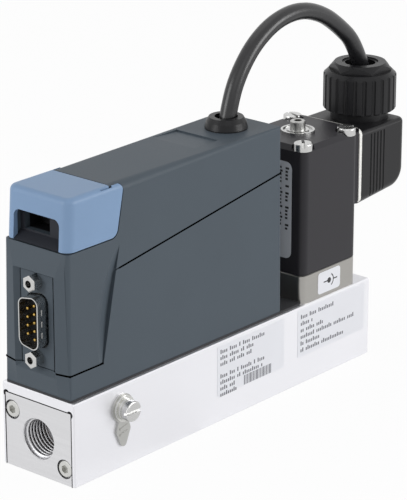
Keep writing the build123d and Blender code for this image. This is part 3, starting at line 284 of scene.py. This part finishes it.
def makeFinishes():
    # metals: colour, roughness, grain along x, y and z; plastics: colour, roughness, grain, its depth, gloss
    return {
        "anodised_aluminium": anodised("anodisedAluminium", linear("e6e6ea")),
        "plate_steel": machinedMetal("portPlateMetal", linear("d6d6d8"), 0.36, (600, 40, 1600)),
        "valve_steel": machinedMetal("valveBodySteel", linear("a5a39f"), 0.34, (40, 40, 1800)),
        "screw_steel": machinedMetal("screwSteel", linear("cfcfcc"), 0.26, (900, 900, 900)),
        "nickel": machinedMetal("nickelPlate", linear("c8c8c7"), 0.26, (700, 700, 700)),
        "tag_metal": machinedMetal("tinnedTag", linear("b6b6b3"), 0.32, (500, 500, 500)),
        "sensor_steel": machinedMetal("sensorSteel", linear("b8b8b8"), 0.35, (200, 900, 900)),
        "core_steel": machinedMetal("coreSteel", linear("b4b4b2"), 0.30, (900, 900, 200)),
        "filter_bronze": machinedMetal("filterBronze", linear("a4825a"), 0.6, (3000, 3000, 3000)),
        "winding_copper": machinedMetal("windingCopper", linear("c07a50"), 0.35, (100, 100, 3000)),
        "pin_gold": machinedMetal("pinGold", linear("b09250"), 0.30, (900, 900, 900)),
        "hood_plastic": mouldedPlastic("hoodPlastic", linear("4b545c"), 0.48, 2600, 0.06, 0.2),
        "cap_plastic": mouldedPlastic("capPlastic", linear("7e99ba"), 0.40, 2600, 0.04),
        "coil_plastic": mouldedPlastic("coilPlastic", linear("2a292d"), 0.40, 2200, 0.05, 0.25),
        "plug_plastic": mouldedPlastic("plugPlastic", linear("19191b"), 0.36, 2200, 0.05, 0.25),
        "insulator_black": mouldedPlastic("insulatorBlack", linear("141416"), 0.5, 2600, 0.03, 0.2),
        "board_green": solderMask("boardGreen", linear("1f5a38")),
        "gasket_rubber": rubber("gasketRubber", linear("26272a"), 0.75),
        "seal_rubber": rubber("sealRubber", linear("1b1b1c"), 0.7),
        "plug_seal_white": rubber("plugSealPale", linear("e9e7e2"), 0.6),
        "cable_jacket": rubber("cableJacket", linear("1c1c1e"), 0.3, 0.006),
    }


def makeTrimFinishes():
    return {
        "film": labelFilm("labelFilm", linear("e3e4e9"), 0.38),
        "silver": labelFilm("labelSilver", linear("c8ccd2"), 0.35),
        "blackInk": labelFilm("markInk", linear("202022"), 0.5),
        "greyInk": labelFilm("printInk", linear("56575e"), 0.5),
        # shadow is painted shade for gaps and recess edges; the pocket's dark plastic is partly a dark inner
        # part and partly painted shade
        "shadow": gapShadow("gapShadow"),
        "lining": mouldedPlastic("pocketDark", linear("2c2e34"), 0.5, 2600, 0.03, 0.15),
    }


def finishFrame(finishes):
    slots = {part["node"]: part["material_slot"] for part in frame["record"]["subparts"]}
    for name, node in nodes.items():
        if not node.material_slots:
            node.data.materials.append(None)
        for materialSlot in node.material_slots:
            materialSlot.material = finishes[slots[name]]


# helpers for the pieces: a shape is drawn in mm and becomes a mesh in metres

def addPiece(name, mesh, finish):
    piece = placed(name, mesh)
    if not mesh.materials:
        mesh.materials.append(finish)
    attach(piece, "controller")
    return piece


def meshFrom(shape, name, place=Matrix()):
    bmesh.ops.recalc_face_normals(shape, faces=shape.faces)
    shape.transform(place @ Matrix.Scale(mm, 4))
    mesh = bpy.data.meshes.new(name)
    shape.to_mesh(mesh)
    shape.free()
    return mesh


def thicken(shape, step):
    grown = bmesh.ops.extrude_face_region(shape, geom=shape.faces[:])["geom"]
    moved = [part for part in grown if isinstance(part, bmesh.types.BMVert)]
    bmesh.ops.translate(shape, verts=moved, vec=step)


def bakedMesh(piece, name):
    evaluated = piece.evaluated_get(bpy.context.evaluated_depsgraph_get())
    mesh = bpy.data.meshes.new_from_object(evaluated)
    mesh.name = name
    return mesh


def roundedOutline(width, height, radius, steps=6):
    points = []
    for cx, cy, start in ((1, 1, 0), (-1, 1, 90), (-1, -1, 180), (1, -1, 270)):
        for step in range(steps + 1):
            angle = math.radians(start + 90 * step / steps)
            points.append((cx * (width / 2 - radius) + radius * math.cos(angle),
                           cy * (height / 2 - radius) + radius * math.sin(angle)))
    return points


def flatPiece(name, outline, thickness, place, finish):
    shape = bmesh.new()
    shape.faces.new([shape.verts.new((x, y, 0)) for x, y in outline])
    thicken(shape, (0, 0, thickness))
    addPiece(name, meshFrom(shape, name, place), finish)


def turned(degrees):
    return Matrix.Rotation(math.radians(degrees), 4, "Z")


def onSide(x, z, y):
    return Matrix.Translation(Vector((x, y, z)) * mm) @ Matrix.Rotation(math.radians(90), 4, "X")


def onFront(y, z, x):
    upright = Matrix(((0, 0, -1), (-1, 0, 0), (0, 1, 0))).to_4x4()
    return Matrix.Translation(Vector((x, y, z)) * mm) @ upright


# trees for what repeats: each input is a named number, and a tree ends in plain geometry with its finish

def newTree(name, labels):
    tree = bpy.data.node_groups.new(name, "GeometryNodeTree")
    tree.interface.new_socket("Geometry", in_out="INPUT", socket_type="NodeSocketGeometry")
    for label in labels:
        tree.interface.new_socket(label, in_out="INPUT", socket_type="NodeSocketFloat")
    tree.interface.new_socket("Geometry", in_out="OUTPUT", socket_type="NodeSocketGeometry")
    graph = Graph(tree)
    source = tree.nodes.new("NodeGroupInput")
    return graph, [Signal(graph, source.outputs[label]) for label in labels]


def endTree(graph, geometry, finish):
    whole = graph.node("GeometryNodeRealizeInstances", {}, {"Geometry": geometry})
    painted = graph.node("GeometryNodeSetMaterial", {}, {"Geometry": whole, "Material": finish})
    graph.feed(graph.tree.nodes.new("NodeGroupOutput").inputs["Geometry"], painted)
    return graph.tree


def grownMesh(tree, name, values):
    holder = placed("grower", bpy.data.meshes.new("grower"))
    growth = holder.modifiers.new("grow", "NODES")
    growth.node_group = tree
    for item in tree.interface.items_tree:
        if item.in_out == "INPUT" and item.name in values:
            growth[item.identifier] = float(values[item.name])
    mesh = bakedMesh(holder, name)
    bpy.data.objects.remove(holder)
    return mesh


# labels: thin films, with the ranges they cover and the level of the face that they lie on

labels = {"film": 0.08,
          "plateLeft": {"across": (-6.9, 27.5), "z": (9.2, 26.7), "level": block["sideY"], "round": 0.6},
          "plateRight": {"across": (34.8, 71.5), "z": (10.0, 27.0), "level": block["sideY"], "round": 0.6},
          "coilLabel": {"across": (-9.5, 9.5), "z": (43.3, 77.3), "level": 38.2, "round": 2.4},
          "valveLabel": {"across": (46.5, 58.6), "z": (29.3, 37.0), "level": -14.7, "round": 1.2}}


def middleOf(label):
    return sum(label["across"]) / 2, sum(label["z"]) / 2


def makeLabel(name, onto, finish):
    label = labels[name]
    (low, high), (foot, top) = label["across"], label["z"]
    flatPiece(name, roundedOutline(high - low, top - foot, label["round"]), labels["film"],
              onto(*middleOf(label), label["level"]), finish)


# print: rows of short strokes that form no letters, and one field of upright bars
# a stroke is full where (Step * its number + Phase) modulo Cycle is below Part, and low elsewhere

printRows = {"ink": 0.01,
             "letters": {"Step": 3, "Cycle": 4, "Part": 1, "Low Width": 1.0, "Low Height": 0.7},
             "bars": {"Step": 5, "Cycle": 7, "Part": 3, "Low Width": 0.5, "Low Height": 1.0},
             # where the rows start, and how long the words of each row are
             "leftPrint": {"start": (-5.4, 25.3), "step": 2.15, "height": 1.45, "stroke": 0.55,
                           "pitch": 0.95,
                           "field": {"start": (12.0, -16.0), "count": 30, "pitch": 0.48, "stroke": 0.336,
                                     "height": 3.4},
                           "words": [(3.4, 4.2, 1.0, 4.2, 6.6), (4.2, 5.0, 1.8, 4.2), (3.4, 2.6, 4.2, 2.6),
                                     (), (3.4, 2.6, 1.0, 5.8, 1.0, 4.2), (7.4, 1.8, 8.2, 1.0), (3.4, 2.6),
                                     (8.2,)]},
             "rightPrint": {"start": (36.4, 25.2), "step": 2.4, "height": 1.5, "stroke": 0.55,
                            "pitch": 0.95,
                            "words": [(3.4, 4.2, 9.0), (5.0, 1.0), (1.8, 5.0, 4.2), (7.4, 9.0, 6.6, 3.4),
                                      (1.8, 7.4), (1.8, 7.4, 12.3)]},
             "coilPrint": {"start": (-8.3, 75.4), "step": 2.7, "height": 1.5, "stroke": 0.75,
                           "pitch": 1.25,
                           "words": [(5.0, 1.3, 3.8, 5.0, 2.6), (6.3, 7.5, 5.0), (3.8, 6.3, 5.0),
                                     (7.5, 3.8)]}}


def strokeTree(ink):
    labelled = ("Count", "Pitch", "Stroke", "Height", "Ink", "Step", "Phase", "Cycle", "Part",
                "Low Width", "Low Height")
    graph, sizes = newTree("strokeRow", labelled)
    count, pitch, stroke, height, depth, step, phase, cycle, part, lowWidth, lowHeight = sizes
    row = graph.node("GeometryNodeMeshLine", {"mode": "OFFSET"},
                     {"Count": count, "Offset": graph.vector(pitch, 0, 0)})
    number = graph.node("GeometryNodeInputIndex")
    full = graph.maths("LESS_THAN", graph.maths("MODULO", number * step + phase, cycle), part)
    size = graph.vector(stroke * (full * (1 - lowWidth) + lowWidth),
                        height * (full * (1 - lowHeight) + lowHeight), depth)
    cube = graph.node("GeometryNodeMeshCube", {}, {"Size": (1, 1, 1)})
    bar = graph.node("GeometryNodeTransform", {}, {"Geometry": cube, "Translation": (0.5, 0.5, 0.5)})
    bars = graph.node("GeometryNodeInstanceOnPoints", {}, {"Points": row, "Instance": bar, "Scale": size})
    return endTree(graph, bars, ink)


def addStrokes(shape, tree, rule, rows, count, phase, start):
    values = {"Count": count, "Pitch": rows["pitch"], "Stroke": rows["stroke"], "Height": rows["height"],
              "Ink": printRows["ink"], "Phase": phase, **printRows[rule]}
    strokes = grownMesh(tree, "strokes", values)
    strokes.transform(Matrix.Translation((*start, 0)))
    shape.from_mesh(strokes)
    bpy.data.meshes.remove(strokes)


def makePrint(name, place, ink):
    rows, tree, shape = printRows[name], strokeTree(ink), bmesh.new()
    for row, words in enumerate(rows["words"]):
        along, foot = 0.0, -row * rows["step"] - rows["height"]
        for length in words:
            count = round(length / rows["pitch"])
            addStrokes(shape, tree, "letters", rows, count, row, (along, foot))
            along += (count + 1) * rows["pitch"]
    if "field" in rows:
        field = rows["field"]
        addStrokes(shape, tree, "bars", field, field["count"], 0, field["start"])
    addPiece(name, meshFrom(shape, name, place), ink)


def makeLabels(trim):
    for side in ("Left", "Right"):
        makeLabel("plate" + side, onSide, trim["film"])
        name = side.lower() + "Print"
        makePrint(name, onSide(*printRows[name]["start"], block["sideY"] - labels["film"]),
                  trim["greyInk"])
    makeLabel("coilLabel", onFront, trim["silver"])
    level = labels["coilLabel"]["level"] - labels["film"]
    makePrint("coilPrint", onFront(*printRows["coilPrint"]["start"], level) @ turned(-90),
              trim["blackInk"])
    makeLabel("valveLabel", onSide, trim["film"])


# flow mark on the valve: a dot and an arc between two short lines, with angles in degrees

flowMark = {"dot": 1.0, "dotStep": 15, "arcRadius": 2.3, "arcSpan": 60, "arcStep": 10, "stroke": 0.42,
            "line": 2.2, "lineRound": 0.1, "lineIn": -1.9, "lineOut": 3.3, "ink": 0.01}


def around(radius, angles):
    return [(radius * math.cos(math.radians(angle)), radius * math.sin(math.radians(angle)))
            for angle in angles]


def makeFlowMark(ink):
    span, step, half = flowMark["arcSpan"], flowMark["arcStep"], flowMark["stroke"] / 2
    arc = around(flowMark["arcRadius"] + half, range(-span, span + 1, step))
    arc += around(flowMark["arcRadius"] - half, range(span, -span - 1, -step))
    line = roundedOutline(flowMark["line"], flowMark["stroke"], flowMark["lineRound"])
    x, z = middleOf(labels["valveLabel"])
    level = labels["valveLabel"]["level"] - labels["film"]
    for name, outline, shift in (("markDot", around(flowMark["dot"], range(0, 360, flowMark["dotStep"])), 0),
                                 ("markArc", arc, 0), ("markLineIn", line, flowMark["lineIn"]),
                                 ("markLineOut", line, flowMark["lineOut"])):
        flatPiece(name, outline, flowMark["ink"], onSide(x + shift, z, level), ink)


# painted shadow: a dark strip in the parting gap of the two shells stands in for the gap's shade; it follows
# the gap, and laps both edges by a hair

seam = {"footZ": 28.8, "topZ": 93.0, "footSide": 13.85, "topSide": 13.15,  # how the sides lean
        "front": -74.0, "crest": (-75.1, 8.7), "rear": 27.9, "rearZ": 77.1,
        "low": (36.6, -59.0), "rise": (65.5, -52.5), "riseSkip": 1.5,  # z and x where the gap bends
        "gap": 0.35, "lap": 0.13, "outer": -0.02, "inner": 0.6}


def seamSide(z, inset):
    share = (z - seam["footZ"]) / (seam["topZ"] - seam["footZ"])
    return seam["footSide"] + (seam["topSide"] - seam["footSide"]) * share - inset


def seamStations(inset):
    lowZ, kinkX = seam["low"]
    riseZ, riseX = seam["rise"]
    slope = (seam["rearZ"] - riseZ) / (seam["rear"] - riseX)
    startX, startZ = riseX + seam["riseSkip"], riseZ + slope * seam["riseSkip"]
    rear, front = seam["rear"] - inset, seam["front"] + inset
    crestX, crestY = seam["crest"]
    lowSide, rearSide = seamSide(lowZ, inset), seamSide(seam["rearZ"], inset)
    startSide = seamSide(startZ, inset)
    slanted = [(startX, -startSide, startZ), (rear, -rearSide, seam["rearZ"]),
               (rear, rearSide, seam["rearZ"]), (startX, startSide, startZ)]
    nearFoot = [(crestX + inset, -crestY, lowZ), (front, -lowSide, lowZ), (kinkX, -lowSide, lowZ)]
    farFoot = [(x, -y, z) for x, y, z in reversed(nearFoot)]
    return slanted, nearFoot, farFoot


def makeSeamShade(finish):
    shape = bmesh.new()
    for outer, inner in zip(seamStations(seam["outer"]), seamStations(seam["inner"])):
        rings = []
        for near, far in zip(outer, inner):
            low, high = near[2] - seam["lap"], near[2] + seam["gap"] + seam["lap"]
            corners = [(*near[:2], low), (*near[:2], high), (*far[:2], high), (*far[:2], low)]
            rings.append([shape.verts.new(corner) for corner in corners])
        for first, second in zip(rings, rings[1:]):
            for index in range(4):
                after = (index + 1) % 4
                shape.faces.new((first[index], first[after], second[after], second[index]))
        shape.faces.new(rings[0])
        shape.faces.new(reversed(rings[-1]))
    addPiece("seamShadeStrip", meshFrom(shape, "seamShadeStrip"), finish)


# dark lining of the card pocket under the cap, partly a dark inner part and partly painted shade in the
# pocket: its sloping floor, and its back round the card's slot

pocket = {"half": 10.0, "lip": (-73.7, 76.2), "back": -69.9, "floorZ": 78.4, "top": 86.0,
          "slot": (-2.5, 8.2, 79.0, 85.4),  # from and to in y, then in z
          "film": (-0.04, 0, 0.04)}


def makePocketShadeLining(finish):
    half, back, floor, top = pocket["half"], pocket["back"], pocket["floorZ"], pocket["top"]
    lipX, lipZ = pocket["lip"]
    near, far, low, high = pocket["slot"]
    quads = [[(lipX, -half, lipZ), (lipX, half, lipZ), (back, half, floor), (back, -half, floor)]]
    for y0, y1, z0, z1 in ((-half, half, floor, low), (-half, half, high, top),
                           (-half, near, low, high), (far, half, low, high)):
        quads.append([(back, y0, z0), (back, y1, z0), (back, y1, z1), (back, y0, z1)])
    shape = bmesh.new()
    for quad in quads:
        shape.faces.new([shape.verts.new(corner) for corner in quad])
    thicken(shape, pocket["film"])
    addPiece("pocketShadeLining", meshFrom(shape, "pocketShadeLining"), finish)


# connector: painted shade as dark hairlines round its recess, and three dimples on each long flank of its
# shell

connector = {"floorX": -73.7, "middleZ": 52.1,
             "recess": (7.05, -15.7, 15.5),  # half its width, and its foot and top from the middle
             "hair": 0.28, "hairRound": 0.05, "film": 0.02,
             "dimple": (0.7, 2.0), "dimpleRound": 0.34, "raise": 0.2,
             # x and y of the shell's flanks, and how far apart the dimples stand on each
             "flankX": -75.75, "flankY": 4.15, "longStep": 3.7, "shortStep": 3.1}


def makeConnectorTrim(line, metal):
    half, low, high = connector["recess"]
    middle, hair = connector["middleZ"], connector["hair"]
    length = high - low
    # the hairlines are painted shade round the recess, in the shadow finish
    for name, width, height, y, z in (("recessShadeFar", hair, length, half - hair / 2, (low + high) / 2),
                                      ("recessShadeNear", hair, length, hair / 2 - half, (low + high) / 2),
                                      ("recessShadeTop", 2 * half, hair, 0, high - hair / 2)):
        flatPiece(name, roundedOutline(width, height, connector["hairRound"]), connector["film"],
                  onFront(y, middle + z, connector["floorX"]), line)
    dimple = roundedOutline(*connector["dimple"], connector["dimpleRound"])
    for flank, x, step, turn in (("Long", connector["flankX"], connector["longStep"], 0),
                                 ("Short", -connector["flankX"], connector["shortStep"], 180)):
        for number in (1, 2, 3):
            place = onSide(x, middle + (number - 2) * step, -connector["flankY"])
            flatPiece("dimple" + flank + str(number), dimple, connector["raise"],
                      turned(turn) @ place, metal)


# painted shade: dark lines in the gap between each port plate and the block

plateGap = {"half": 14.22, "top": 24.82, "wide": 0.32, "round": 0.05, "film": 0.02}


def makePlateGapShade(finish):
    half, top, wide = plateGap["half"], plateGap["top"], plateGap["wide"]
    for end, turn in (("inlet", 0), ("outlet", 180)):
        for edge, width, height, y, z in (("Near", wide, top, -half, top / 2),
                                          ("Far", wide, top, half, top / 2),
                                          ("Top", 2 * half, wide, 0, top)):
            flatPiece(end + "Line" + edge, roundedOutline(width, height, plateGap["round"]),
                      plateGap["film"], turned(turn) @ onFront(y, z, block["inletX"]), finish)


# threaded ports: the bore comes as a plain hole of the core's size, so each plate is opened and threaded

thread = {"outer": 6.58, "depth": 11.4, "mouth": 6.8, "mouthDepth": 0.4,
          "pitch": 1.337, "ridge": 0.64, "sunk": 0.14,  # the ridge's middle stands inside the wall by sunk
          "mouthGap": 1.0, "floorGap": 0.6, "turnSteps": 40, "ridgeSides": 4,
          "cutSides": 64, "cutOver": 0.5, "cutFlare": 0.3, "merge": 0.001}


def portPlace(way):
    face = Vector((block["outletX"] if way > 0 else block["inletX"], 0, block["portZ"]))
    return Matrix.Translation(face * mm) @ Matrix.Rotation(way * math.pi / 2, 4, "Y")


def boreCutter(way):
    over, mouth, outer = thread["cutOver"], thread["mouth"], thread["outer"]
    profile = [(0, over), (mouth + thread["cutFlare"], over), (mouth, 0), (outer, -thread["mouthDepth"]),
               (outer, -thread["depth"] - over), (0, -thread["depth"] - over)]
    shape = bmesh.new()
    verts = [shape.verts.new((radius, 0, depth)) for radius, depth in profile]
    edges = [shape.edges.new(pair) for pair in zip(verts, verts[1:])]
    bmesh.ops.spin(shape, geom=verts + edges, cent=(0, 0, 0), axis=(0, 0, 1), angle=math.tau,
                   steps=thread["cutSides"])
    bmesh.ops.remove_doubles(shape, verts=shape.verts, dist=thread["merge"])
    return placed("boreCutter", meshFrom(shape, "boreCutter", portPlace(way)))


def makePort(name, way, finish):
    mesh = nodes[name].data.copy()
    shape = bmesh.new()
    shape.from_mesh(mesh)
    bmesh.ops.remove_doubles(shape, verts=shape.verts, dist=thread["merge"] * mm)
    shape.to_mesh(mesh)
    shape.free()
    work, cutter = placed("portWork", mesh), boreCutter(way)
    cut = work.modifiers.new("bore", "BOOLEAN")
    cut.operation = "DIFFERENCE"
    cut.solver = "EXACT"
    cut.object = cutter
    plate = bakedMesh(work, name + "Look")
    bpy.data.objects.remove(work)
    bpy.data.objects.remove(cutter)
    plate.materials.clear()
    piece = addPiece(name + "Look", plate, finish)
    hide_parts(name)


def threadTree(finish):
    graph, (turns, radius, height, ridge) = newTree("threadRidge", ("Turns", "Radius", "Height", "Ridge"))
    spiral = graph.node("GeometryNodeCurveSpiral", {},
                        {"Resolution": thread["turnSteps"], "Rotations": turns, "Start Radius": radius,
                         "End Radius": radius, "Height": height})
    upright = graph.node("GeometryNodeSetCurveNormal", {"mode": "Z_UP"}, {"Curve": spiral})
    section = graph.node("GeometryNodeCurvePrimitiveCircle", {},
                         {"Resolution": thread["ridgeSides"], "Radius": ridge})
    sweep = graph.node("GeometryNodeCurveToMesh", {},
                       {"Curve": upright, "Profile Curve": section, "Fill Caps": True})
    return endTree(graph, sweep, finish)


def makeThreads(finish):
    tree = threadTree(finish)
    length = thread["depth"] - thread["mouthGap"] - thread["floorGap"]
    values = {"Turns": length / thread["pitch"], "Radius": thread["outer"] - thread["sunk"],
              "Height": length, "Ridge": thread["ridge"]}
    lowest = Matrix.Translation((0, 0, -(thread["depth"] - thread["floorGap"]) * mm))
    for name, way in (("inletThread", -1), ("outletThread", 1)):
        mesh = grownMesh(tree, name, values)
        mesh.transform(portPlace(way) @ lowest @ Matrix.Scale(mm, 4))
        addPiece(name, mesh, finish)


# studio: a pale floor that looks white, a white world and four soft lights; here lengths are in m

studio = {"floorSize": 6.0, "floorTone": (0.85, 0.85, 0.86, 1), "floorRoughness": 0.9,
          "floorWhite": 0.95, "worldGlow": 0.44, "aim": (0, 0, 0.06)}
softboxes = {"key": {"place": (-0.9, -1.1, 1.1), "size": (0.9, 0.9), "watts": 1.5},
             "side": {"place": (0.7, -1.3, 0.45), "size": (1.0, 0.6), "watts": 12.0},
             "front": {"place": (-1.3, 0.5, 0.5), "size": (0.7, 0.9), "watts": 8.4},
             "top": {"place": (0.2, 0.3, 1.4), "size": (0.9, 0.9), "watts": 1.4}}
white = (1, 1, 1, 1)


def makeFloor():
    half = studio["floorSize"] / 2
    mesh = bpy.data.meshes.new("floor")
    corners = [(-half, -half, 0), (half, -half, 0), (half, half, 0), (-half, half, 0)]
    mesh.from_pydata(corners, [], [(0, 1, 2, 3)])
    floor = placed("floor", mesh)
    s = Surface("floorPale")
    s.set(colour=studio["floorTone"], roughness=studio["floorRoughness"])
    glow = s.node("ShaderNodeEmission", {}, {"Color": white, "Strength": 1.0})
    lit = Signal(s, s.shader.outputs[0])
    mix = s.node("ShaderNodeMixShader", {}, {0: s.seen() * studio["floorWhite"], 1: lit, 2: glow})
    s.feed(s.tree.nodes["Material Output"].inputs["Surface"], mix)
    mesh.materials.append(s.material)


def makeSoftbox(name):
    box = softboxes[name]
    data = bpy.data.lights.new(name, "AREA")
    data.shape = "RECTANGLE"
    data.size, data.size_y = box["size"]
    data.energy = box["watts"]
    light = placed(name, data)
    light.location = box["place"]
    light.rotation_mode = "QUATERNION"
    light.rotation_quaternion = (Vector(studio["aim"]) - Vector(box["place"])).to_track_quat("-Z", "Y")


def makeWorld():
    world = bpy.data.worlds.new("studio")
    bpy.context.scene.world = world
    world.use_nodes = True
    sky = Graph(world.node_tree)
    background = sky.tree.nodes["Background"]
    sky.feed(background.inputs["Color"], white)
    sky.feed(background.inputs["Strength"], sky.seen() * (1 - studio["worldGlow"]) + studio["worldGlow"])


def makeStudio():
    makeFloor()
    makeWorld()
    for name in softboxes:
        makeSoftbox(name)
    bpy.context.scene.view_settings.view_transform = "Standard"


def main():
    finishes, trim = makeFinishes(), makeTrimFinishes()
    makeCamera()
    makeCable(finishes["cable_jacket"])
    print("camera and cable made")
    finishFrame(finishes)
    makeLabels(trim)
    makeFlowMark(trim["blackInk"])
    print("labels made")
    # the seam strip is painted shadow in the parting gap of the two shells
    makeSeamShade(trim["shadow"])
    print("seam cord made")
    # the pocket lining is partly a dark inner part and partly painted shade
    makePocketShadeLining(trim["lining"])
    makeConnectorTrim(trim["shadow"], finishes["nickel"])
    makePlateGapShade(trim["shadow"])
    print("linings, gap lines and connector trim made")
    makePort("inlet_port_plate", -1, finishes["plate_steel"])
    makePort("outlet_port_plate", 1, finishes["plate_steel"])
    makeThreads(finishes["plate_steel"])
    print("ports and threads made")
    makeStudio()
    print("studio made")


main()
